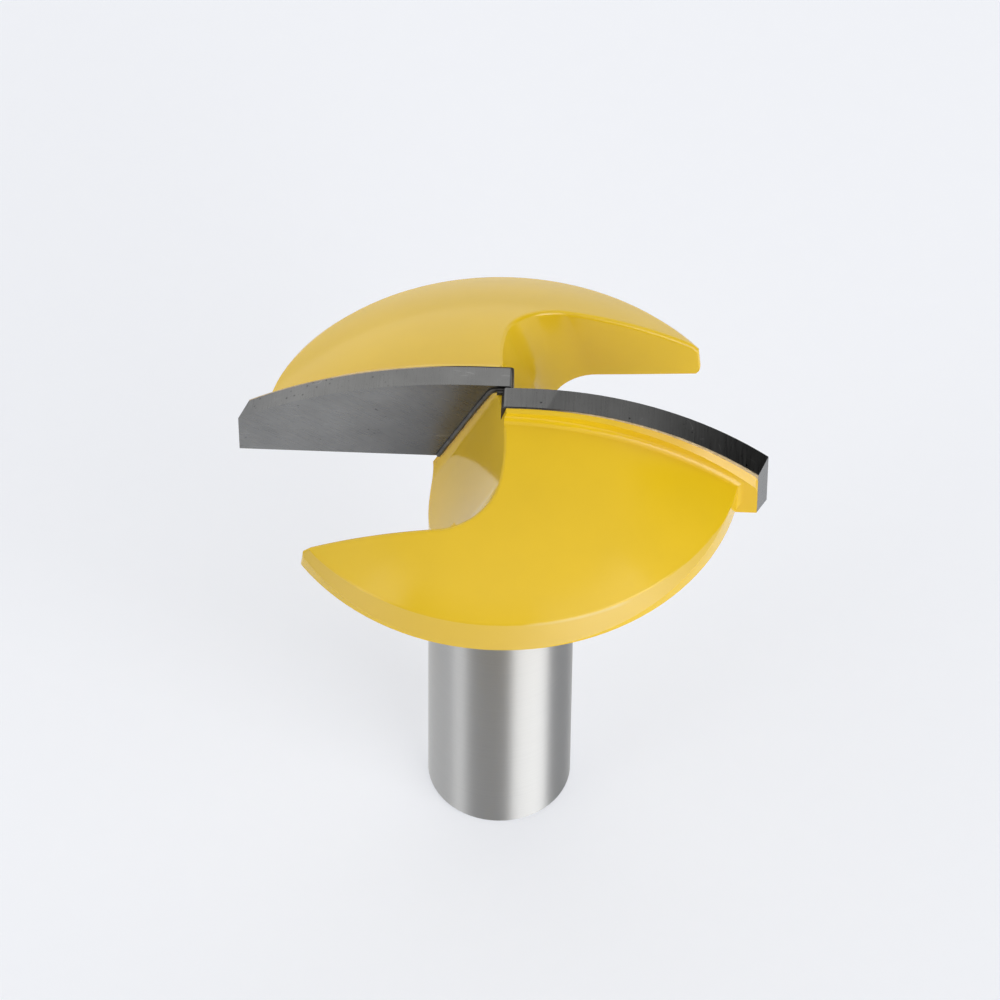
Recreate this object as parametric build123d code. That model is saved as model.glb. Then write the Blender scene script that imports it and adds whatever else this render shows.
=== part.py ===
"""Two-wing plunging router bit with a shallow domed cutting profile.

Frame: the tool axis is Z, the shank's end face stands on Z = 0, the cutting end
points up, and the two rake faces run along X. Seen from above, the tool turns
anticlockwise. Millimetres throughout.
"""
from build123d import *
from math import cos, radians, sin, sqrt, tan
import os

# Shank and neck: one bar, ground bright below and painted above
shank_diameter = 12.7
shank_end_chamfer = 0.3
underside_height = 41.4          # where the wings leave the neck
neck_chamfer = 0.8

# Wings: a disc with a sloping underside and a short rim
wing_radius = 20.5
rim_drop = 0.81                  # rim's lower edge below the crown, straight in front
underside_inset = 0.7            # from the rim in to the underside
underside_drop = 0.85            # from the rim down to the underside
wing_tip_round = 0.6             # upright edge between rim and gullet

# Relieved crown of each wing, turned about a centre that is shifted off the axis
crown_top = 52.3
crown_radius = 37.0
crown_shift = 3.2

# Bevelled shoulder between crown and rim, about a centre of its own
shoulder_shift = 2.6
shoulder_rise = 1.7              # from the rim up to the crown
shoulder_inset = 1.18            # from the rim in to the crown
shoulder_round = 0.5

# Cutting edge: flat across the middle, then one arc out to the side
profile_top = 52.85
profile_flat = 2.6               # half width of the flat
profile_radius = 33.0
cutting_radius = 22.65
cutter_bottom = 41.24

# Carbide cutters
cutter_thickness = 2.0
axial_rake = 8.4
rake_gap = 0.08                  # each rake face stays this far behind the axis
top_relief = 0.05                # how much lower the cutter's land is at its back
side_relief = 0.8                # how much nearer the axis its outline is at its back
foot_relief = 0.65               # how much higher the cutter's foot is at its back
cutter_inner_ends = (0.0, -0.7)  # one cutter reaches past the axis, to cut the centre
cutter_corner = 0.3

# Seats: the braze joint, and the thin rib of the body that backs each cutter
braze_gap = 0.12
braze_drop = 0.02                # the braze stays this far below the cutter's land
rib_thickness = 0.4
rib_drop = 0.03
rib_corner = 0.9                 # rounded upper corner at the outer end
rib_slope_drop = 0.2             # how much lower the rib is at its own back
rib_back_radius = 30.0           # arc of its back edge, which falls away faster than the cutter
rib_bottom_lift = 1.1
rib_foot_fillet = 0.6
seat_room = 3.0                  # the seat's cut runs this far past the cutter's outline

# Gullets: slots milled along the rake face and leaning with it
gullet_width = 12.35
gullet_root_radius = 22.0
gullet_root_drop = 7.2           # deepest point of the root, across the slot
gullet_corner_radius = 4.3
gullet_web_radius = 0.9          # hollow between root and rake face
gullet_reach = 0.08              # how far the root passes the axis, at the level below
gullet_level = 50.5
gullet_lean = 0.40               # outward lean of the root, per unit of height
gullet_flare = 1.3               # opening of the far wall, in degrees
gullet_depth = 18.0              # cut below the level, until it has run out of the neck
gullet_edge_round = 0.3
gullet_edge_end = 3.5            # the rounding stops this far from the axis, near the rib

rake_slope = tan(radians(axial_rake))
rim_from_crown = sqrt(crown_radius**2 - (wing_radius + crown_shift)**2)
rim_height = crown_top - crown_radius + rim_from_crown - rim_drop
on_surface = 0.01                # an edge nearer to a surface than this lies on it


def rake_plane(depth):
    """Plane at a depth behind a rake face, with Z into the cutter and Y up the face."""
    back = Vector(0, -cos(radians(axial_rake)), sin(radians(axial_rake)))
    origin = Vector(0, -rake_gap, profile_top) + back * depth
    return Plane(origin=origin, x_dir=(1, 0, 0), z_dir=back)


def outline(depth, inner, drop, shift, bottom, outer_corner=0, radius=profile_radius):
    """Cutter-shaped face at a depth: flat, dished arc, upright side and straight foot."""
    rise = depth * rake_slope
    top = -drop - rise
    foot = (bottom - profile_top) / cos(radians(axial_rake)) - rise
    flat_end = profile_flat - shift
    outer = cutting_radius - shift
    middle = (flat_end + outer) / 2
    side = top - radius + sqrt(radius**2 - (outer - flat_end)**2)
    middle_side = top - radius + sqrt(radius**2 - (middle - flat_end)**2)
    corner = cutter_corner
    bend = corner * (1 - sqrt(0.5))
    edges = [
        Line((inner, foot), (inner, top - corner)),
        ThreePointArc((inner, top - corner), (inner + bend, top - bend), (inner + corner, top)),
        Line((inner + corner, top), (flat_end, top)),
        ThreePointArc((flat_end, top), (middle, middle_side), (outer, side)),
        Line((outer, side), (outer, foot)),
        Line((outer, foot), (inner, foot)),
    ]
    face = make_face(Wire(edges))
    if outer_corner:
        face = fillet(face.vertices().sort_by_distance((outer, side))[0], outer_corner)
    return rake_plane(depth) * face


def cutter(inner):
    """Carbide plate, its land and side falling back from the cutting edge."""
    front = outline(0, inner, 0, 0, cutter_bottom)
    back = outline(cutter_thickness, inner, top_relief, side_relief, cutter_bottom + foot_relief)
    return loft([front, back], ruled=True)


def braze(inner, plate):
    """Solder layer behind a cutter and round its inner end."""
    depth = cutter_thickness + braze_gap
    back = outline(depth, inner - braze_gap, top_relief + braze_drop, side_relief + braze_drop,
                   cutter_bottom + rib_bottom_lift)
    return extrude(back, amount=-depth) - plate


def seat(inner):
    """Space that a cutter and its braze take out of the body."""
    face = outline(0, inner - braze_gap, -seat_room, -seat_room, cutter_bottom - seat_room)
    return extrude(face, amount=cutter_thickness + braze_gap)


def rib(inner):
    """Thin backing rib behind a cutter, sloping down to its own back."""
    drop = top_relief + rib_drop
    shift = side_relief + rib_drop
    bottom = cutter_bottom + rib_bottom_lift
    near = outline(cutter_thickness, inner - braze_gap, drop, shift, bottom, rib_corner)
    far = outline(cutter_thickness + braze_gap + rib_thickness, inner - braze_gap,
                  drop + rib_slope_drop, shift, bottom, rib_corner, rib_back_radius)
    return loft([near, far], ruled=True)


def blank():
    """Shank, neck and wing disc, turned in one."""
    shank_radius = shank_diameter / 2
    top = profile_top + seat_room
    section = make_face(Polyline(
        (0, 0), (shank_radius - shank_end_chamfer, 0), (shank_radius, shank_end_chamfer),
        (shank_radius, underside_height), (wing_radius - underside_inset, rim_height - underside_drop),
        (wing_radius, rim_height), (wing_radius, top), (0, top), close=True))
    neck_corner = section.vertices().sort_by_distance((shank_radius, underside_height))[0]
    section = chamfer(neck_corner, neck_chamfer)
    return revolve(Plane.XZ * section, Axis.Z)


def crown():
    """Ball that bounds a wing from above, about the crown's own centre."""
    return Pos(0, crown_shift, crown_top - crown_radius) * Sphere(crown_radius)


def shoulder():
    """Cone that bevels a wing between crown and rim."""
    slope = shoulder_rise / shoulder_inset
    radius = wing_radius + shoulder_shift
    section = make_face(Polyline(
        (0, 0), (radius + rim_height / slope, 0), (0, rim_height + radius * slope), close=True))
    return Pos(0, shoulder_shift, 0) * revolve(Plane.XZ * section, Axis.Z)


def front_space(distance):
    """Everything further than a distance in front of the axis."""
    size = 4 * wing_radius
    return Pos(0, -size / 2 - distance, 0) * Box(size, size, 4 * size)


def on_crown(edge):
    """Whether an edge lies on the front wing's crown."""
    centre = Vector(0, crown_shift, crown_top - crown_radius)
    points = [edge @ 0, edge @ 0.5, edge @ 1]
    return all(abs((point - centre).length - crown_radius) < on_surface for point in points)


def on_bevel(edge):
    """Whether the middle of an edge lies on the front wing's bevel."""
    middle = (edge @ 0.5) - Vector(0, shoulder_shift, 0)
    inset = wing_radius + shoulder_shift - sqrt(middle.X**2 + middle.Y**2)
    return abs(inset * shoulder_rise / shoulder_inset + rim_height - middle.Z) < on_surface


def on_shape(shape, edge):
    """Whether the middle of an edge lies on or in a shape."""
    return shape.distance_to(edge @ 0.5) < on_surface


def on_rib_back(edge):
    """Whether the middle of an edge lies on the back of the front wing's rib."""
    back = rake_plane(cutter_thickness + braze_gap + rib_thickness)
    return abs(((edge @ 0.5) - back.origin).dot(back.z_dir)) < on_surface


def round_crown(part, touches, radius):
    """Round the crown's edges that touch another surface."""
    return fillet(part.edges().filter_by(lambda edge: on_crown(edge) and touches(edge)), radius)


def round_foot(part):
    """Hollow fillet between the rib's back and the wing, over the crown and down the rim."""
    def along_foot(edge):
        middle = edge @ 0.5
        on_rim = abs(sqrt(middle.X**2 + middle.Y**2) - wing_radius) < on_surface
        outside = middle.X > 0 and (on_rim or on_bevel(edge))
        return on_rib_back(edge) and (on_crown(edge) or outside)
    return fillet(part.edges().filter_by(along_foot), rib_foot_fillet)


def wing(inner, slot):
    """The half of the body in front of the axis, with the rib of its own cutter."""
    half = blank() & shoulder() & crown() & front_space(0)
    half = round_crown(half, on_bevel, shoulder_round)
    half = round_foot(half + rib(inner))
    half = half - slot - half_turn(slot)
    middle = half - front_space(gullet_edge_end)
    outer = half & front_space(gullet_edge_end)
    outer = round_crown(outer, lambda edge: on_shape(slot, edge), gullet_edge_round)
    return middle + outer


def tip_cut():
    """Corner that comes off the front wing's tip, between gullet wall and rim."""
    level = rim_height + shoulder_rise
    wall_y = (gullet_level - level) * rake_slope - gullet_width
    span = wing_radius - wing_tip_round
    centre = Vector(-sqrt(span**2 - (wall_y - wing_tip_round)**2), wall_y - wing_tip_round)
    outward = centre.normalized()
    rim_end = centre + outward * wing_tip_round
    middle = centre + (outward + Vector(0, 1)).normalized() * wing_tip_round
    wall_end = centre + Vector(0, wing_tip_round)
    far = -2 * wing_radius
    edges = [
        Line((far, wall_end.Y), wall_end),
        ThreePointArc(wall_end, middle, rim_end),
        Line(rim_end, (far, rim_end.Y)),
        Line((far, rim_end.Y), (far, wall_end.Y)),
    ]
    section = Pos(0, 0, level) * make_face(Wire(edges))
    along = Vector(-centre.Y * rake_slope / centre.X, rake_slope, -1)
    return extrude(section, amount=seat_room, dir=along, both=True)


def inner_tangent(radius, height, root):
    """Centre X of a circle at a height that touches the root circle from inside."""
    return root.X + sqrt((gullet_root_radius - radius)**2 - (height - root.Y)**2)


def gullet():
    """Leaning slot in front of the cutter at negative X."""
    face_y = rake_gap + (profile_top - gullet_level) * rake_slope
    root = Vector(gullet_reach - gullet_root_radius, -gullet_root_drop)
    web_y = face_y - gullet_web_radius
    web = Vector(inner_tangent(gullet_web_radius, web_y, root), web_y)
    corner_y = gullet_corner_radius - gullet_width
    corner = Vector(inner_tangent(gullet_corner_radius, corner_y, root), corner_y)
    to_web = (web - root).normalized()
    to_corner = (corner - root).normalized()
    web_join = web + to_web * gullet_web_radius
    web_middle = web + (to_web + Vector(0, 1)).normalized() * gullet_web_radius
    web_start = web + Vector(0, gullet_web_radius)
    deepest = root + Vector(gullet_root_radius, 0)
    corner_join = corner + to_corner * gullet_corner_radius
    corner_middle = corner + (to_corner + Vector(0, -1)).normalized() * gullet_corner_radius
    corner_end = corner + Vector(0, -gullet_corner_radius)
    far = -2 * wing_radius
    far_wall = corner_end.Y - (corner_end.X - far) * tan(radians(gullet_flare))
    edges = [
        Line((far, face_y), web_start),
        ThreePointArc(web_start, web_middle, web_join),
        ThreePointArc(web_join, deepest, corner_join),
        ThreePointArc(corner_join, corner_middle, corner_end),
        Line(corner_end, (far, far_wall)),
        Line((far, far_wall), (far, face_y)),
    ]
    down = Vector(-gullet_lean, rake_slope, -1)
    above = profile_top - gullet_level
    section = Pos(0, 0, gullet_level) * Pos(-down * above) * make_face(Wire(edges))
    return extrude(section, amount=(down * (above + gullet_depth)).length, dir=down)


def half_turn(shape):
    """The same shape on the other side of the axis."""
    return Rot(0, 0, 180) * shape


def main():
    """Build every piece and write it."""
    right_end, left_end = cutter_inner_ends
    right_cutter = cutter(right_end)
    left_cutter = cutter(left_end)
    slot = gullet()
    body = wing(right_end, slot) + half_turn(wing(left_end, slot))
    body = body - seat(right_end) - half_turn(seat(left_end))
    body = body - tip_cut() - half_turn(tip_cut())
    os.makedirs("parts", exist_ok=True)
    export_step(body, "parts/bit_body.step")
    export_step(right_cutter, "parts/right_carbide_cutter.step")
    export_step(half_turn(left_cutter), "parts/left_carbide_cutter.step")
    export_step(braze(right_end, right_cutter), "parts/right_braze_layer.step")
    export_step(half_turn(braze(left_end, left_cutter)), "parts/left_braze_layer.step")


if __name__ == "__main__":
    main()
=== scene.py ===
"""Looks of a two-wing router bit that stands on a pale table, cutting end up."""
from math import cos, pi, radians, sin

import bmesh
import bpy
from bpy.props import FloatProperty, FloatVectorProperty, PointerProperty
from mathutils import Matrix, Vector


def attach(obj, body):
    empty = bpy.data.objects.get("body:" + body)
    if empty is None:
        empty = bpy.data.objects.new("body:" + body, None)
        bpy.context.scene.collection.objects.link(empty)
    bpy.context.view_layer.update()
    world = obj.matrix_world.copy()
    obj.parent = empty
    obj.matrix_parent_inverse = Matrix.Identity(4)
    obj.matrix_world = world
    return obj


bl_info = {
    "name": "Router bit finish",
    "version": (1, 0, 0),
    "blender": (4, 5, 0),
    "location": "View3D > Sidebar > Router bit",
    "description": "Finishes the router bit's enamel, steel, carbide and solder, and sets its table",
    "category": "Object",
}

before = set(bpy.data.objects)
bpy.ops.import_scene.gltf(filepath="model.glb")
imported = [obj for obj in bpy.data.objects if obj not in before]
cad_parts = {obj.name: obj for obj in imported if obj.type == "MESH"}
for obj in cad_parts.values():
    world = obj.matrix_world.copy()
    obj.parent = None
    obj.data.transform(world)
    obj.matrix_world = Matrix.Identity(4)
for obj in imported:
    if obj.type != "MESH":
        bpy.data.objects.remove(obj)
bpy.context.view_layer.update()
MM = 0.001
BODY = "bit_body"
CUTTERS = ("right_carbide_cutter", "left_carbide_cutter")
SOLDER = ("right_braze_layer", "left_braze_layer")
# Solder line down the left gullet's corner, in mm: over the web and down the rake face. Its dark bead is
# partly painted shade of the gap there
SEAM_PATH = (
    (0.55, 0.13, 52.24), (-0.55, 0.14, 52.24), (-1.05, 0.17, 52.1), (-1.75, 0.4, 50.6),
    (-3.62, 1.1, 46.1), (-5.55, 1.77, 41.4),
)
# The carbide's painted shade follows that line, which leans outward by a share of its depth
SEAM_LEAN = 0.415
SEAM_TOP = 51.94 * MM
SEAM_START = 1.65 * MM + SEAM_LEAN * SEAM_TOP
# Bevelled shoulder of the wings: its own centre's distance behind the axis, how far it is
# tilted from upright, and the height up to which it reaches
SHOULDER_CENTRE = 2.6 * MM
SHOULDER_TILT = radians(34.8)
SHOULDER_TOP = 45.5 * MM
# Cloth panels of the light tent: degrees from straight in front to the right, then the light
# level of the lower and of the upper row, so that the shank shows the real one's bright bands
TENT_PANELS = (
    # Plain cloth behind the bit, in half shade round its left side
    (-180, 1.3, 1.7), (-135, 1.5, 1.3), (-125, 0.78, 1.0), (-105, 0.62, 0.85), (-64, 0.65, 1.1),
    # Narrow lit panel in front on the left, then black cloth straight in front
    (-59, 2.0, 1.7), (-47, 2.1, 1.7), (-41, 0.05, 0.2), (14, 0.0, 0.1),
    # Main lit panel in front on the right
    (22, 4.3, 1.7), (60, 4.8, 1.7), (66, 4.0, 1.7),
    # Black cloth on the right, then plain cloth again
    (71, 0.1, 0.7), (112, 0.0, 0.0), (122, 0.3, 0.6), (145, 0.8, 1.4), (180, 1.3, 1.7),
)


def linear(hex_colour):
    """Linear red, green and blue of an sRGB hex colour."""
    parts = [int(hex_colour[i:i + 2], 16) / 255 for i in (1, 3, 5)]
    return [p / 12.92 if p <= 0.04045 else ((p + 0.055) / 1.055) ** 2.4 for p in parts]


def rgba(colour):
    """A colour property's three values with full alpha."""
    return (*colour[:3], 1.0)


def add(tree, kind, settings=None, **inputs):
    """Add a node with its settings; an input is a value or another node's output.

    An input is named as on the node, with _ for a space, or by its number, such as _0.
    """
    node = tree.nodes.new(kind)
    for name, value in (settings or {}).items():
        setattr(node, name, value)
    for name, value in inputs.items():
        place = int(name[1:]) if name[1:].isdigit() else name.replace("_", " ")
        socket = node.inputs[place]
        if isinstance(value, bpy.types.NodeSocket):
            tree.links.new(value, socket)
        else:
            socket.default_value = value
    return node


def blend_colours(tree, factor, first, second):
    """Mix two colours, each a value or another node's output, and give the output."""
    node = add(tree, "ShaderNodeMix", {"data_type": "RGBA"}, Factor=factor)
    sockets = [socket for socket in node.inputs if socket.type == "RGBA"]
    for socket, value in zip(sockets, (first, second)):
        if isinstance(value, bpy.types.NodeSocket):
            tree.links.new(value, socket)
        else:
            socket.default_value = value
    return next(socket for socket in node.outputs if socket.type == "RGBA")


def new_material(name):
    """An empty material with its output node and its node tree."""
    material = bpy.data.materials.new(name)
    material.use_nodes = True
    tree = material.node_tree
    tree.nodes.clear()
    return material, tree, tree.nodes.new("ShaderNodeOutputMaterial")


def finish_material(tree, output, surface):
    """Link a shader to the material's output."""
    tree.links.new(surface, output.inputs["Surface"])


def coat(obj, material):
    """Give an object one material on all of its faces."""
    obj.data.materials.clear()
    obj.data.materials.append(material)


# Settings


class FinishSettings(bpy.types.PropertyGroup):
    """Colours and sizes of the bit's finishes."""
    paint_colour: FloatVectorProperty(
        name="Paint colour", description="Yellow of the enamel",
        subtype="COLOR", size=3, min=0, max=1, default=linear("#E3BC1C"))
    # Painted shade: the orange that the enamel takes in the corner beside each soldered cutter
    corner_shade_colour: FloatVectorProperty(
        name="Corner shade", description="Orange of the enamel beside the soldered cutters",
        subtype="COLOR", size=3, min=0, max=1, default=linear("#BE7A34"))
    # Painted highlight: the pale glint along part of the front wing's crease, and where it lies
    glint_colour: FloatVectorProperty(
        name="Glint colour", description="Pale line where the enamel is scuffed",
        subtype="COLOR", size=3, min=0, max=1, default=linear("#F4E6B4"))
    glint_radius: FloatProperty(
        name="Glint radius", description="Radius of the crease about the shoulder's own centre",
        unit="LENGTH", default=21.87 * MM)
    glint_middle: FloatProperty(
        name="Glint middle", description="How far to the right of the axis the scuff has its middle",
        unit="LENGTH", default=7 * MM)
    glint_reach: FloatProperty(
        name="Glint reach", description="How far the scuff runs to each side of its middle",
        unit="LENGTH", default=4.6 * MM)
    # Painted reflection: paler tone on the shoulder, standing in for the pale table mirrored there
    shoulder_sheen_colour: FloatVectorProperty(
        name="Shoulder sheen colour", description="Paler tone that the enamel takes on the shoulder",
        subtype="COLOR", size=3, min=0, max=1, default=linear("#CDB47C"))
    shoulder_matt: FloatProperty(
        name="Shoulder roughness", description="Roughness that the bevelled shoulder has on top",
        default=0.3)
    steel_colour: FloatVectorProperty(
        name="Steel colour", description="Ground steel of the shank",
        subtype="COLOR", size=3, min=0, max=1, default=linear("#C9C9C8"))
    carbide_colour: FloatVectorProperty(
        name="Carbide colour", description="Ground carbide of the cutters",
        subtype="COLOR", size=3, min=0, max=1, default=linear("#858584"))
    # Painted shade: the upward-facing lands are drawn darker than the rake faces
    painted_land_shade: FloatProperty(
        name="Painted land shade", description="How dark the lands are beside the rake faces",
        subtype="FACTOR", min=0, max=1, default=0.6)
    solder_colour: FloatVectorProperty(
        name="Solder colour", description="Clean solder in the seams",
        subtype="COLOR", size=3, min=0, max=1, default=linear("#CDB78F"))
    # Painted shade: dark solder near the middle, where the seam lies in a shadowed recess
    recess_shade_colour: FloatVectorProperty(
        name="Recess shade colour", description="Flux-stained solder near the middle",
        subtype="COLOR", size=3, min=0, max=1, default=linear("#34302B"))
    # Painted shade in part: the fillet solder's dark grey also stands for the shade of the gap it fills
    fillet_flux_and_shade_colour: FloatVectorProperty(
        name="Fillet flux and shade colour", description="Solder left in the gullet corners",
        subtype="COLOR", size=3, min=0, max=1, default=linear("#5C5A57"))
    fillet_radius: FloatProperty(
        name="Fillet radius", description="Half width of the solder in the gullet corners",
        unit="LENGTH", default=0.24 * MM)
    fillet_step: FloatProperty(
        name="Fillet step", description="Spacing of the rings that the solder bead is made of",
        unit="LENGTH", default=0.3 * MM)
    fillet_unevenness: FloatProperty(
        name="Fillet unevenness", description="How far the solder bead strays from its line",
        unit="LENGTH", default=0.08 * MM)
    paint_line: FloatProperty(
        name="Paint line", description="Height at which the paint ends on the neck",
        unit="LENGTH", default=32 * MM)


class StageSettings(bpy.types.PropertyGroup):
    """Table, light tent and camera."""
    table_colour: FloatVectorProperty(
        name="Table colour", description="Pale table and backdrop",
        subtype="COLOR", size=3, min=0, max=1, default=linear("#F4F6FB"))
    top_front: FloatProperty(
        name="Top in front", description="Light level of the tent's top towards the camera", default=1.2)
    top_back: FloatProperty(
        name="Top behind", description="Light level of the tent's top behind the bit", default=0.25)
    table_reach: FloatProperty(
        name="Table reach", description="How far the table reaches from the axis",
        unit="LENGTH", default=3.0)
    table_shadow: FloatProperty(
        name="Table shadow", description="Share of the real shadow that the pale table shows",
        subtype="FACTOR", min=0, max=1, default=0.45)
    camera_reach: FloatProperty(
        name="Camera reach", description="Level distance from the tool's axis to the camera",
        unit="LENGTH", default=450.5 * MM)
    camera_height: FloatProperty(
        name="Camera height", description="Height of the camera above the table",
        unit="LENGTH", default=591.4 * MM)
    camera_turn: FloatProperty(
        name="Camera turn", description="How far the camera stands round the axis",
        subtype="ANGLE", default=radians(1.8))
    camera_pitch: FloatProperty(
        name="Camera pitch", description="How far the camera looks down",
        subtype="ANGLE", default=radians(50.868))
    camera_aim: FloatProperty(
        name="Camera aim", description="How far the camera looks to the left of the axis",
        subtype="ANGLE", default=radians(0.0242))
    camera_roll: FloatProperty(
        name="Camera roll", description="How far the camera leans over",
        subtype="ANGLE", default=radians(0.65))
    camera_lens: FloatProperty(
        name="Camera lens", description="Focal length for a 36 mm sensor, in millimetres",
        default=299.0)


# Materials of the bit


def body_material(settings):
    """Stoved yellow enamel over the wings and neck, centreless-ground steel below.

    The enamel is smooth and thick, so it shows soft, slightly blurred reflections; it is matter
    on the bevelled shoulder and paler there as painted reflection, more orange beside the soldered
    cutters as painted shade, and has a painted highlight along one crease.
    The ground steel has fine marks that run round the shank.
    """
    material, tree, output = new_material("stoved enamel over ground steel")
    coordinates = add(tree, "ShaderNodeTexCoord")
    place = coordinates.outputs["Object"]
    height = add(tree, "ShaderNodeSeparateXYZ", Vector=place)
    # Enamel: a very faint orange peel, about 0.8 mm from crest to crest
    peel = add(tree, "ShaderNodeTexNoise", Vector=place, Scale=1250.0, Detail=2.0, Roughness=0.5)
    tone = add(tree, "ShaderNodeTexNoise", Vector=place, Scale=120.0, Detail=3.0, Roughness=0.55)
    shade = add(tree, "ShaderNodeMapRange", Value=tone.outputs["Fac"], From_Min=0.3, From_Max=0.7,
                To_Min=0.97, To_Max=1.03)
    paint_tone = add(tree, "ShaderNodeHueSaturation", Color=rgba(settings.paint_colour),
                     Value=shade.outputs["Result"])
    # Painted shade: a more orange tone, standing in for light bounced between the yellow walls, over the
    # outer half of the strip of enamel beside each soldered cutter
    out = add(tree, "ShaderNodeMath", {"operation": "ABSOLUTE"}, _0=height.outputs["X"])
    outer = add(tree, "ShaderNodeMapRange", {"interpolation_type": "SMOOTHSTEP"},
                Value=out.outputs["Value"], From_Min=6 * MM, From_Max=15 * MM)
    forward = add(tree, "ShaderNodeMath", {"operation": "ABSOLUTE"}, _0=height.outputs["Y"])
    beside = add(tree, "ShaderNodeMapRange", {"interpolation_type": "SMOOTHSTEP"},
                 Value=forward.outputs["Value"], From_Min=4.6 * MM, From_Max=2.6 * MM)
    in_corner = add(tree, "ShaderNodeMath", {"operation": "MULTIPLY"}, _0=outer.outputs["Result"],
                 _1=beside.outputs["Result"])
    corner_shade = add(tree, "ShaderNodeMath", {"operation": "MULTIPLY"}, _0=in_corner.outputs["Value"], _1=0.3)
    corner_shaded = blend_colours(tree, corner_shade.outputs["Value"], paint_tone.outputs["Color"],
                           rgba(settings.corner_shade_colour))
    # Painted highlight: a pale uneven line, about 0.13 mm wide, standing in for the glint along part of
    # the front wing's crease above the shoulder. It has no height limit, so it also runs over the
    # underside there.
    from_centre = add(tree, "ShaderNodeVectorMath", {"operation": "MULTIPLY_ADD"}, _0=place,
                      _1=(1.0, 1.0, 0.0), _2=(0.0, -SHOULDER_CENTRE, 0.0))
    radius = add(tree, "ShaderNodeVectorMath", {"operation": "LENGTH"},
                 _0=from_centre.outputs["Vector"])
    from_crease = add(tree, "ShaderNodeMath", {"operation": "SUBTRACT"},
                      _0=radius.outputs["Value"], _1=settings.glint_radius)
    off_crease = add(tree, "ShaderNodeMath", {"operation": "ABSOLUTE"}, _0=from_crease.outputs["Value"])
    on_crease = add(tree, "ShaderNodeMapRange", Value=off_crease.outputs["Value"],
                    From_Min=0.1 * MM, From_Max=0.03 * MM)
    along = add(tree, "ShaderNodeMath", {"operation": "SUBTRACT"}, _0=height.outputs["X"],
                _1=settings.glint_middle)
    off_middle = add(tree, "ShaderNodeMath", {"operation": "ABSOLUTE"}, _0=along.outputs["Value"])
    in_reach = add(tree, "ShaderNodeMapRange", Value=off_middle.outputs["Value"],
                   From_Min=settings.glint_reach, From_Max=settings.glint_reach - 1.4 * MM)
    patchy = add(tree, "ShaderNodeMapRange", Value=tone.outputs["Fac"], From_Min=0.3, From_Max=0.6,
               To_Min=0.1, To_Max=0.45)
    glint_line = add(tree, "ShaderNodeMath", {"operation": "MULTIPLY"}, _0=on_crease.outputs["Result"],
                     _1=in_reach.outputs["Result"])
    glint = add(tree, "ShaderNodeMath", {"operation": "MULTIPLY"}, _0=glint_line.outputs["Value"],
                _1=patchy.outputs["Result"])
    highlighted = blend_colours(tree, glint.outputs["Value"], corner_shaded, rgba(settings.glint_colour))
    # Shoulder: found by its slope, which lies between the level crown and the upright walls
    facing = add(tree, "ShaderNodeSeparateXYZ", Vector=coordinates.outputs["Normal"])
    off_slope = add(tree, "ShaderNodeMath", {"operation": "SUBTRACT"}, _0=facing.outputs["Z"],
                    _1=sin(SHOULDER_TILT))
    slope = add(tree, "ShaderNodeMath", {"operation": "ABSOLUTE"}, _0=off_slope.outputs["Value"])
    sloping = add(tree, "ShaderNodeMapRange", Value=slope.outputs["Value"], From_Min=0.14,
                  From_Max=0.05)
    below_crown = add(tree, "ShaderNodeMapRange", Value=height.outputs["Z"],
                      From_Min=SHOULDER_TOP + 0.3 * MM, From_Max=SHOULDER_TOP - 0.3 * MM)
    on_shoulder = add(tree, "ShaderNodeMath", {"operation": "MULTIPLY"},
                      _0=sloping.outputs["Result"], _1=below_crown.outputs["Result"])
    # Painted reflection: the shoulder is made paler, standing in for the pale table mirrored there
    shoulder_sheen = add(tree, "ShaderNodeMath", {"operation": "MULTIPLY"}, _0=on_shoulder.outputs["Value"],
                _1=0.3)
    enamel_tone = blend_colours(tree, shoulder_sheen.outputs["Value"], highlighted, rgba(settings.shoulder_sheen_colour))
    gloss = add(tree, "ShaderNodeMapRange", Value=peel.outputs["Fac"], From_Min=0.3, From_Max=0.7,
                To_Min=0.1, To_Max=0.15)
    matter = add(tree, "ShaderNodeMath", {"operation": "MULTIPLY_ADD"}, _0=on_shoulder.outputs["Value"],
                 _1=settings.shoulder_matt, _2=gloss.outputs["Result"])
    waves = add(tree, "ShaderNodeBump", Strength=0.05, Distance=0.00005, Height=peel.outputs["Fac"])
    enamel = add(tree, "ShaderNodeBsdfPrincipled", Base_Color=enamel_tone,
                 Roughness=matter.outputs["Value"], Normal=waves.outputs["Normal"])
    # Steel: grinding marks round the shank, drawn 0.1 mm apart so that they show
    stretch = add(tree, "ShaderNodeMapping", Vector=place, Scale=(60.0, 60.0, 9000.0))
    marks = add(tree, "ShaderNodeTexNoise", Vector=stretch.outputs["Vector"], Scale=1.0, Detail=3.0,
                Roughness=0.6)
    steel_shade = add(tree, "ShaderNodeMapRange", Value=marks.outputs["Fac"], From_Min=0.3,
                      From_Max=0.7, To_Min=0.97, To_Max=1.03)
    steel_tone = add(tree, "ShaderNodeHueSaturation", Color=rgba(settings.steel_colour),
                     Value=steel_shade.outputs["Result"])
    steel_gloss = add(tree, "ShaderNodeMapRange", Value=marks.outputs["Fac"], From_Min=0.3,
                      From_Max=0.7, To_Min=0.5, To_Max=0.55)
    round_axis = add(tree, "ShaderNodeTangent", {"direction_type": "RADIAL", "axis": "Z"})
    steel = add(tree, "ShaderNodeBsdfPrincipled", Base_Color=steel_tone.outputs["Color"],
                Metallic=1.0, Roughness=steel_gloss.outputs["Result"],
                Tangent=round_axis.outputs["Tangent"])
    steel.inputs["Anisotropic"].default_value = 1.0
    steel.inputs["Anisotropic Rotation"].default_value = 0.25
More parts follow.
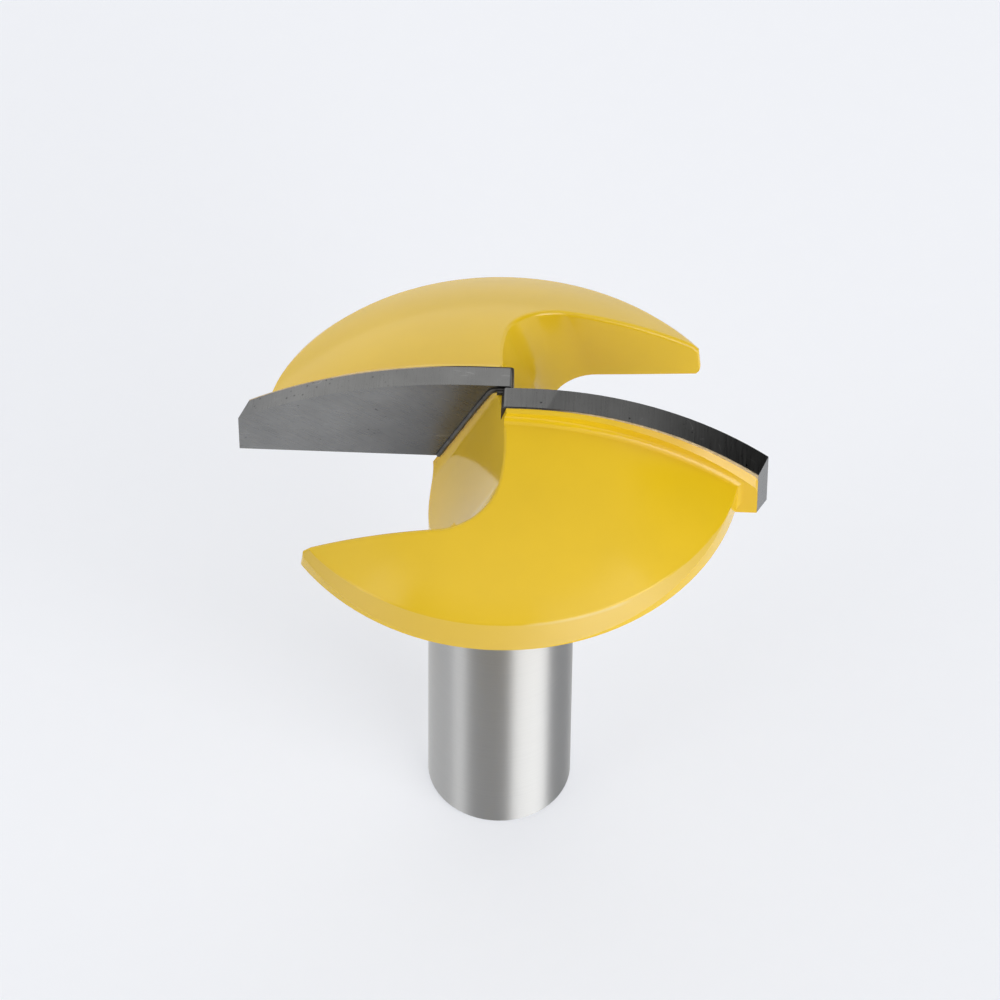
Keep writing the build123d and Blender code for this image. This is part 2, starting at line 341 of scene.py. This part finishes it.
    # The paint ends on the neck in a nearly level, slightly uneven line
    wander = add(tree, "ShaderNodeMapRange", Value=tone.outputs["Fac"], From_Min=0.3, From_Max=0.7,
                 To_Min=-0.0003, To_Max=0.0003)
    uneven = add(tree, "ShaderNodeMath", {"operation": "ADD"}, _0=height.outputs["Z"],
                 _1=wander.outputs["Result"])
    painted = add(tree, "ShaderNodeMath", {"operation": "GREATER_THAN"}, _0=uneven.outputs["Value"],
                  _1=settings.paint_line)
    both = add(tree, "ShaderNodeMixShader", Fac=painted.outputs["Value"], _1=steel.outputs["BSDF"],
               _2=enamel.outputs["BSDF"])
    finish_material(tree, output, both.outputs["Shader"])
    return material


def carbide_material(settings):
    """Tungsten carbide, diamond ground: dull grey metal with wheel marks, scratches and small pits.

    The rake faces have slanting marks; the lands are ground across and drawn darker as painted
    shade, and the carbide near the soldered corner is darkened as painted shade.
    """
    material, tree, output = new_material("diamond ground tungsten carbide")
    coordinates = add(tree, "ShaderNodeTexCoord")
    place = coordinates.outputs["Object"]
    facing = add(tree, "ShaderNodeSeparateXYZ", Vector=coordinates.outputs["Normal"])
    on_land = add(tree, "ShaderNodeMapRange", Value=facing.outputs["Z"], From_Min=0.45, From_Max=0.6)
    # Rake face: long slanting wheel marks, drawn about 0.15 mm apart so that they show
    turned = add(tree, "ShaderNodeMapping", Vector=place, Rotation=(0.0, radians(-38.0), 0.0))
    slanting = add(tree, "ShaderNodeMapping", Vector=turned.outputs["Vector"],
                   Scale=(350.0, 2500.0, 6500.0))
    rake_marks = add(tree, "ShaderNodeTexNoise", Vector=slanting.outputs["Vector"], Scale=1.0,
                     Detail=5.0, Roughness=0.65)
    # Land: wheel marks straight across, drawn about 0.2 mm apart so that they show
    across = add(tree, "ShaderNodeMapping", Vector=place, Rotation=(0.0, 0.0, radians(14.0)),
                 Scale=(4800.0, 260.0, 400.0))
    land_marks = add(tree, "ShaderNodeTexNoise", Vector=across.outputs["Vector"], Scale=1.0,
                     Detail=5.0, Roughness=0.7)
    marks = add(tree, "ShaderNodeMix", {"data_type": "FLOAT"}, Factor=on_land.outputs["Result"],
                A=rake_marks.outputs["Fac"], B=land_marks.outputs["Fac"])
    patches = add(tree, "ShaderNodeTexNoise", Vector=place, Scale=260.0, Detail=3.0, Roughness=0.6)
    blend = add(tree, "ShaderNodeMath", {"operation": "ADD"}, _0=marks.outputs["Result"],
                _1=patches.outputs["Fac"])
    shade = add(tree, "ShaderNodeMapRange", Value=blend.outputs["Value"], From_Min=0.7, From_Max=1.3,
                To_Min=0.84, To_Max=1.12)
    # Painted shade beside the soldered corner, fading out over about 11 mm
    height = add(tree, "ShaderNodeSeparateXYZ", Vector=place)
    reach = add(tree, "ShaderNodeMath", {"operation": "ABSOLUTE"}, _0=height.outputs["X"])
    from_corner = add(tree, "ShaderNodeMath", {"operation": "MULTIPLY_ADD"},
                      _0=height.outputs["Z"], _1=SEAM_LEAN, _2=reach.outputs["Value"])
    shading = add(tree, "ShaderNodeMapRange", {"interpolation_type": "SMOOTHSTEP"},
                Value=from_corner.outputs["Value"], From_Min=SEAM_START, From_Max=SEAM_START + 11 * MM,
                To_Min=0.5, To_Max=0.98)
    shaded = add(tree, "ShaderNodeMath", {"operation": "MULTIPLY"}, _0=shade.outputs["Result"],
                  _1=shading.outputs["Result"])
    # Painted shade: one land is made darker towards its outer end
    outer_shade = add(tree, "ShaderNodeMapRange", {"interpolation_type": "SMOOTHSTEP"},
                  Value=height.outputs["X"], From_Min=7 * MM, From_Max=20 * MM,
                  To_Min=settings.painted_land_shade, To_Max=settings.painted_land_shade * 0.62)
    # Its inner 4.7 mm were ground again and are a little lighter, up to a slanting step
    step = add(tree, "ShaderNodeMath", {"operation": "MULTIPLY_ADD"}, _0=height.outputs["Y"],
               _1=-0.45, _2=height.outputs["X"])
    inside = add(tree, "ShaderNodeMapRange", Value=step.outputs["Value"], From_Min=4.6 * MM,
                 From_Max=4.8 * MM, To_Min=1.08, To_Max=0.84)
    past_step = add(tree, "ShaderNodeMapRange", {"interpolation_type": "SMOOTHSTEP"},
                    Value=step.outputs["Value"], From_Min=4.8 * MM, From_Max=7.5 * MM,
                    To_Min=0.0, To_Max=0.16)
    stepped = add(tree, "ShaderNodeMath", {"operation": "ADD"}, _0=inside.outputs["Result"],
                  _1=past_step.outputs["Result"])
    land_level = add(tree, "ShaderNodeMath", {"operation": "MULTIPLY"}, _0=stepped.outputs["Value"],
                    _1=outer_shade.outputs["Result"])
    # Painted shade: the lands take the rake faces' tone, made darker
    painted_land_shade = add(tree, "ShaderNodeMath", {"operation": "MULTIPLY"}, _0=shade.outputs["Result"],
                     _1=land_level.outputs["Value"])
    level = add(tree, "ShaderNodeMix", {"data_type": "FLOAT"}, Factor=on_land.outputs["Result"],
                A=shaded.outputs["Value"], B=painted_land_shade.outputs["Value"])
    # Small pits, about 0.15 mm wide, in a few groups
    pits = add(tree, "ShaderNodeTexVoronoi", Vector=place, Scale=1800.0)
    pit = add(tree, "ShaderNodeMapRange", Value=pits.outputs["Distance"], From_Min=0.1, From_Max=0.22,
              To_Min=1.0, To_Max=0.0)
    groups = add(tree, "ShaderNodeTexNoise", Vector=place, Scale=330.0, Detail=0.0)
    pitted = add(tree, "ShaderNodeMapRange", Value=groups.outputs["Fac"], From_Min=0.66, From_Max=0.7)
    pit_here = add(tree, "ShaderNodeMath", {"operation": "MULTIPLY"}, _0=pit.outputs["Result"],
                   _1=pitted.outputs["Result"])
    # Stray scratches, pale and thin: level lines of a stretched noise, broken up by another
    skew = add(tree, "ShaderNodeMapping", Vector=place, Rotation=(0.0, radians(-52.0), 0.0),
               Scale=(90.0, 500.0, 700.0))
    lines = add(tree, "ShaderNodeTexNoise", Vector=skew.outputs["Vector"], Scale=1.0, Detail=1.0)
    from_line = add(tree, "ShaderNodeMath", {"operation": "SUBTRACT"}, _0=lines.outputs["Fac"], _1=0.5)
    near_line = add(tree, "ShaderNodeMath", {"operation": "ABSOLUTE"}, _0=from_line.outputs["Value"])
    line = add(tree, "ShaderNodeMapRange", Value=near_line.outputs["Value"], From_Min=0.0,
               From_Max=0.006, To_Min=1.0, To_Max=0.0)
    broken = add(tree, "ShaderNodeMapRange", Value=patches.outputs["Fac"], From_Min=0.54, From_Max=0.62)
    scratch = add(tree, "ShaderNodeMath", {"operation": "MULTIPLY"}, _0=line.outputs["Result"],
                  _1=broken.outputs["Result"])
    lighter = add(tree, "ShaderNodeMath", {"operation": "MULTIPLY_ADD"}, _0=scratch.outputs["Value"],
                  _1=0.45, _2=level.outputs["Result"])
    darker = add(tree, "ShaderNodeMath", {"operation": "MULTIPLY_ADD"}, _0=pit_here.outputs["Value"],
                 _1=-0.45, _2=lighter.outputs["Value"])
    tone = add(tree, "ShaderNodeHueSaturation", Color=rgba(settings.carbide_colour),
               Value=darker.outputs["Value"])
    gloss = add(tree, "ShaderNodeMapRange", Value=marks.outputs["Result"], From_Min=0.3, From_Max=0.7,
                To_Min=0.24, To_Max=0.36)
    relief = add(tree, "ShaderNodeMath", {"operation": "SUBTRACT"}, _0=marks.outputs["Result"],
                 _1=pit_here.outputs["Value"])
    grooves = add(tree, "ShaderNodeBump", Strength=0.25, Distance=0.00003, Height=relief.outputs["Value"])
    metal = add(tree, "ShaderNodeBsdfPrincipled", Base_Color=tone.outputs["Color"], Metallic=1.0,
                Roughness=gloss.outputs["Result"], Normal=grooves.outputs["Normal"])
    finish_material(tree, output, metal.outputs["BSDF"])
    return material


def solder_material(settings):
    """Silver solder: ground to a pale line towards the outer ends, and dark near the middle as painted
    shade of its recess.
    """
    material, tree, output = new_material("silver solder with flux stain")
    place = add(tree, "ShaderNodeTexCoord").outputs["Object"]
    grain = add(tree, "ShaderNodeTexNoise", Vector=place, Scale=2200.0, Detail=4.0, Roughness=0.6)
    shade = add(tree, "ShaderNodeMapRange", Value=grain.outputs["Fac"], From_Min=0.3, From_Max=0.7,
                To_Min=0.7, To_Max=1.15)
    away = add(tree, "ShaderNodeSeparateXYZ", Vector=place)
    reach = add(tree, "ShaderNodeMath", {"operation": "ABSOLUTE"}, _0=away.outputs["X"])
    # Painted shade: the solder is darker towards the middle, where its seam lies in a shadowed recess
    unshaded = add(tree, "ShaderNodeMapRange", {"interpolation_type": "SMOOTHSTEP"},
                Value=reach.outputs["Value"], From_Min=3.5 * MM, From_Max=8 * MM)
    mixed = blend_colours(tree, unshaded.outputs["Result"], rgba(settings.recess_shade_colour),
                          rgba(settings.solder_colour))
    tone = add(tree, "ShaderNodeHueSaturation", Color=mixed, Value=shade.outputs["Result"])
    lumps = add(tree, "ShaderNodeBump", Strength=0.3, Distance=0.00005, Height=grain.outputs["Fac"])
    metal = add(tree, "ShaderNodeBsdfPrincipled", Base_Color=tone.outputs["Color"], Metallic=0.25,
                Roughness=0.42, Normal=lumps.outputs["Normal"])
    finish_material(tree, output, metal.outputs["BSDF"])
    return material


def fillet_material(settings):
    """Silver solder left in the corner of a gullet: grey metal darkened by flux and dust, and darker
    still as painted shade of the narrow gap it fills.
    """
    material, tree, output = new_material("flux and shade darkened silver solder")
    place = add(tree, "ShaderNodeTexCoord").outputs["Object"]
    grain = add(tree, "ShaderNodeTexNoise", Vector=place, Scale=1500.0, Detail=4.0, Roughness=0.6)
    shade = add(tree, "ShaderNodeMapRange", Value=grain.outputs["Fac"], From_Min=0.3, From_Max=0.7,
                To_Min=0.6, To_Max=1.2)
    tone = add(tree, "ShaderNodeHueSaturation", Color=rgba(settings.fillet_flux_and_shade_colour),
               Value=shade.outputs["Result"])
    lumps = add(tree, "ShaderNodeBump", Strength=0.25, Distance=0.00005, Height=grain.outputs["Fac"])
    metal = add(tree, "ShaderNodeBsdfPrincipled", Base_Color=tone.outputs["Color"], Metallic=1.0,
                Roughness=0.35, Normal=lumps.outputs["Normal"])
    finish_material(tree, output, metal.outputs["BSDF"])
    return material


# Solder bead


def bead_tree():
    """Geometry Nodes: a slightly uneven bead of solder along the edges of a path mesh."""
    tree = bpy.data.node_groups.new("solder bead", "GeometryNodeTree")
    face = tree.interface
    face.new_socket("Geometry", in_out="INPUT", socket_type="NodeSocketGeometry")
    radius = face.new_socket("Bead radius", in_out="INPUT", socket_type="NodeSocketFloat")
    step = face.new_socket("Step", in_out="INPUT", socket_type="NodeSocketFloat")
    uneven = face.new_socket("Unevenness", in_out="INPUT", socket_type="NodeSocketFloat")
    paint = face.new_socket("Material", in_out="INPUT", socket_type="NodeSocketMaterial")
    face.new_socket("Geometry", in_out="OUTPUT", socket_type="NodeSocketGeometry")
    given = add(tree, "NodeGroupInput")
    curve = add(tree, "GeometryNodeMeshToCurve", Mesh=given.outputs["Geometry"])
    even = add(tree, "GeometryNodeResampleCurve", {"mode": "LENGTH"}, Curve=curve.outputs["Curve"],
               Length=given.outputs["Step"])
    noise = add(tree, "ShaderNodeTexNoise", {"noise_dimensions": "3D"}, Scale=900.0, Detail=2.0)
    centred = add(tree, "ShaderNodeVectorMath", {"operation": "SUBTRACT"},
                  _0=noise.outputs["Color"], _1=(0.5, 0.5, 0.5))
    push = add(tree, "ShaderNodeVectorMath", {"operation": "SCALE"}, _0=centred.outputs["Vector"],
               Scale=given.outputs["Unevenness"])
    wavy = add(tree, "GeometryNodeSetPosition", Geometry=even.outputs["Curve"],
               Offset=push.outputs["Vector"])
    ring = add(tree, "GeometryNodeCurvePrimitiveCircle", Resolution=12,
               Radius=given.outputs["Bead radius"])
    tube = add(tree, "GeometryNodeCurveToMesh", Curve=wavy.outputs["Geometry"],
               Profile_Curve=ring.outputs["Curve"])
    tube.inputs["Fill Caps"].default_value = True
    soft = add(tree, "GeometryNodeSetShadeSmooth", Geometry=tube.outputs["Mesh"])
    real = add(tree, "GeometryNodeRealizeInstances", Geometry=soft.outputs["Geometry"])
    coated = add(tree, "GeometryNodeSetMaterial", Geometry=real.outputs["Geometry"],
                 Material=given.outputs["Material"])
    add(tree, "NodeGroupOutput", Geometry=coated.outputs["Geometry"])
    return tree, radius.identifier, step.identifier, uneven.identifier, paint.identifier


def path_mesh(name, path):
    """Edges along a path in the left gullet, and its half turn in the right one, in metres."""
    count = len(path)
    points = [Vector(point) * MM for point in path]
    points += [Vector((-point.x, -point.y, point.z)) for point in points]
    edges = [(i, i + 1) for i in range(count - 1)]
    edges += [(count + i, count + i + 1) for i in range(count - 1)]
    mesh = bpy.data.meshes.new(name)
    mesh.from_pydata(points, edges, [])
    return mesh


# Table, light tent and camera


def table_material(settings):
    """Matt white board: pale and even, and the camera sees only a share of its shadow."""
    material, tree, output = new_material("matt white board")
    place = add(tree, "ShaderNodeTexCoord").outputs["Object"]
    grain = add(tree, "ShaderNodeTexNoise", Vector=place, Scale=400.0, Detail=2.0)
    shade = add(tree, "ShaderNodeMapRange", Value=grain.outputs["Fac"], From_Min=0.3, From_Max=0.7,
                To_Min=0.995, To_Max=1.005)
    tone = add(tree, "ShaderNodeHueSaturation", Color=rgba(settings.table_colour),
               Value=shade.outputs["Result"])
    board = add(tree, "ShaderNodeBsdfDiffuse", Color=tone.outputs["Color"])
    glow = add(tree, "ShaderNodeEmission", Color=rgba(settings.table_colour), Strength=1.0)
    shown = add(tree, "ShaderNodeMixShader", Fac=settings.table_shadow, _1=glow.outputs["Emission"],
                _2=board.outputs["BSDF"])
    ray = add(tree, "ShaderNodeLightPath")
    seen = add(tree, "ShaderNodeMath", {"operation": "MAXIMUM"}, _0=ray.outputs["Is Camera Ray"],
               _1=ray.outputs["Is Glossy Ray"])
    seen_or_through = add(tree, "ShaderNodeMath", {"operation": "MAXIMUM"}, _0=seen.outputs["Value"],
                          _1=ray.outputs["Is Transmission Ray"])
    both = add(tree, "ShaderNodeMixShader", Fac=seen_or_through.outputs["Value"],
               _1=board.outputs["BSDF"], _2=shown.outputs["Shader"])
    finish_material(tree, output, both.outputs["Shader"])
    return material


def panel_row(tree, turn, row):
    """One row of the tent's panels round the azimuth, as a background shader."""
    ramp = add(tree, "ShaderNodeValToRGB", Fac=turn)
    brightest = max(panel[row] for panel in TENT_PANELS)
    stops = ramp.color_ramp.elements
    stops.remove(stops[1])
    for panel in TENT_PANELS:
        place = (panel[0] + 180) / 360
        stop = stops.new(place) if place > 0 else stops[0]
        stop.color = (*[panel[row] / brightest] * 3, 1.0)
    return add(tree, "ShaderNodeBackground", Color=ramp.outputs["Color"], Strength=brightest)


def studio_world(settings):
    """A tent of pale cloth: two rows of panels, a top, and the backdrop that the camera sees.

    The panels run upright, so the ground shank shows upright bands.
    """
    world = bpy.data.worlds.new("light tent")
    world.use_nodes = True
    tree = world.node_tree
    tree.nodes.clear()
    ray = add(tree, "ShaderNodeLightPath")
    way = add(tree, "ShaderNodeSeparateXYZ", Vector=add(tree, "ShaderNodeTexCoord").outputs["Generated"])
    front = add(tree, "ShaderNodeMath", {"operation": "MULTIPLY"}, _0=way.outputs["Y"], _1=-1.0)
    azimuth = add(tree, "ShaderNodeMath", {"operation": "ARCTAN2"}, _0=way.outputs["X"],
                  _1=front.outputs["Value"])
    turn = add(tree, "ShaderNodeMapRange", Value=azimuth.outputs["Value"], From_Min=-pi, From_Max=pi)
    lower = panel_row(tree, turn.outputs["Result"], 1)
    upper = panel_row(tree, turn.outputs["Result"], 2)
    top_level = add(tree, "ShaderNodeMapRange", Value=way.outputs["Y"], From_Min=-0.5, From_Max=0.5,
                    To_Min=settings.top_front, To_Max=settings.top_back)
    top = add(tree, "ShaderNodeBackground", Strength=top_level.outputs["Result"])
    first_seam = add(tree, "ShaderNodeMapRange", {"interpolation_type": "SMOOTHSTEP"},
                     Value=way.outputs["Z"], From_Min=0.44, From_Max=0.62)
    second_seam = add(tree, "ShaderNodeMapRange", {"interpolation_type": "SMOOTHSTEP"},
                      Value=way.outputs["Z"], From_Min=0.76, From_Max=0.88)
    walls = add(tree, "ShaderNodeMixShader", Fac=first_seam.outputs["Result"],
                _1=lower.outputs["Background"], _2=upper.outputs["Background"])
    tent = add(tree, "ShaderNodeMixShader", Fac=second_seam.outputs["Result"],
               _1=walls.outputs["Shader"], _2=top.outputs["Background"])
    backdrop = add(tree, "ShaderNodeBackground", Color=rgba(settings.table_colour))
    seen = add(tree, "ShaderNodeMixShader", Fac=ray.outputs["Is Camera Ray"],
               _1=tent.outputs["Shader"], _2=backdrop.outputs["Background"])
    add(tree, "ShaderNodeOutputWorld", Surface=seen.outputs["Shader"])
    return world


def camera(settings):
    """The camera, from its reach, height and three turns."""
    pitch, roll = settings.camera_pitch, settings.camera_roll
    aim = Matrix.Rotation(settings.camera_aim, 3, "Z")
    ahead = aim @ Vector((0, cos(pitch), -sin(pitch)))
    side = aim @ Vector((1, 0, 0))
    up = side.cross(ahead)
    right = side * cos(roll) + up * sin(roll)
    top = up * cos(roll) - side * sin(roll)
    turn = Matrix.Rotation(settings.camera_turn, 3, "Z")
    axes = turn @ Matrix((right, top, -ahead)).transposed()
    data = bpy.data.cameras.new("camera")
    data.sensor_width = 36.0
    data.lens = settings.camera_lens
    data.clip_start = 0.01
    data.clip_end = 20.0
    obj = bpy.data.objects.new("camera", data)
    bpy.context.scene.collection.objects.link(obj)
    place = turn @ Vector((0, -settings.camera_reach, settings.camera_height))
    obj.matrix_world = Matrix.Translation(place) @ axes.to_4x4()
    return obj


# Operators


class PaintBody(bpy.types.Operator):
    """Paint the wings and neck and grind the shank"""
    bl_idname = "router_bit.paint_body"
    bl_label = "Paint body"

    def execute(self, context):
        coat(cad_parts[BODY], body_material(context.scene.bit_finish))
        return {"FINISHED"}


class GrindCutters(bpy.types.Operator):
    """Give the carbide cutters their ground finish"""
    bl_idname = "router_bit.grind_cutters"
    bl_label = "Grind cutters"

    def execute(self, context):
        material = carbide_material(context.scene.bit_finish)
        for name in CUTTERS:
            coat(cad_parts[name], material)
        return {"FINISHED"}


class FinishSolder(bpy.types.Operator):
    """Give the solder seams their pale and flux-stained finish"""
    bl_idname = "router_bit.finish_solder"
    bl_label = "Finish solder"

    def execute(self, context):
        material = solder_material(context.scene.bit_finish)
        for name in SOLDER:
            coat(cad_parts[name], material)
        return {"FINISHED"}


class FillCorners(bpy.types.Operator):
    """Lay the solder that is left in the gullets' corners"""
    bl_idname = "router_bit.fill_corners"
    bl_label = "Fill corners"

    def execute(self, context):
        settings = context.scene.bit_finish
        tree, radius, step, uneven, paint = bead_tree()
        fillets = bpy.data.objects.new("solder_fillets", path_mesh("solder path", SEAM_PATH))
        context.scene.collection.objects.link(fillets)
        nodes = fillets.modifiers.new("bead", "NODES")
        nodes.node_group = tree
        nodes[radius] = settings.fillet_radius
        nodes[step] = settings.fillet_step
        nodes[uneven] = settings.fillet_unevenness
        nodes[paint] = fillet_material(settings)
        graph = context.evaluated_depsgraph_get()
        shape = bpy.data.meshes.new_from_object(fillets.evaluated_get(graph))
        fillets.modifiers.clear()
        fillets.data = shape
        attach(fillets, "root")
        return {"FINISHED"}


class SetStage(bpy.types.Operator):
    """Set the table, the light tent and the camera"""
    bl_idname = "router_bit.set_stage"
    bl_label = "Set stage"

    def execute(self, context):
        settings = context.scene.bit_stage
        context.scene.view_settings.view_transform = "Standard"
        mesh = bpy.data.meshes.new("table")
        shape = bmesh.new()
        bmesh.ops.create_grid(shape, x_segments=1, y_segments=1, size=settings.table_reach)
        shape.to_mesh(mesh)
        shape.free()
        table = bpy.data.objects.new("table", mesh)
        context.scene.collection.objects.link(table)
        coat(table, table_material(settings))
        context.scene.world = studio_world(settings)
        context.scene.camera = camera(settings)
        return {"FINISHED"}


class RouterBitPanel(bpy.types.Panel):
    """The router bit's steps, in order"""
    bl_idname = "VIEW3D_PT_router_bit"
    bl_label = "Router bit"
    bl_space_type = "VIEW_3D"
    bl_region_type = "UI"
    bl_category = "Router bit"

    def draw(self, context):
        for step in STEPS:
            self.layout.operator(step.bl_idname)
        for settings in (context.scene.bit_finish, context.scene.bit_stage):
            for name in settings.__annotations__:
                self.layout.prop(settings, name)


STEPS = (PaintBody, GrindCutters, FinishSolder, FillCorners, SetStage)
CLASSES = (FinishSettings, StageSettings, *STEPS, RouterBitPanel)


def register():
    for cls in CLASSES:
        bpy.utils.register_class(cls)
    bpy.types.Scene.bit_finish = PointerProperty(type=FinishSettings)
    bpy.types.Scene.bit_stage = PointerProperty(type=StageSettings)


def unregister():
    del bpy.types.Scene.bit_stage
    del bpy.types.Scene.bit_finish
    for cls in reversed(CLASSES):
        bpy.utils.unregister_class(cls)


def main():
    register()
    bpy.ops.router_bit.paint_body()
    bpy.ops.router_bit.grind_cutters()
    bpy.ops.router_bit.finish_solder()
    bpy.ops.router_bit.fill_corners()
    bpy.ops.router_bit.set_stage()


if __name__ == "__main__":
    main()
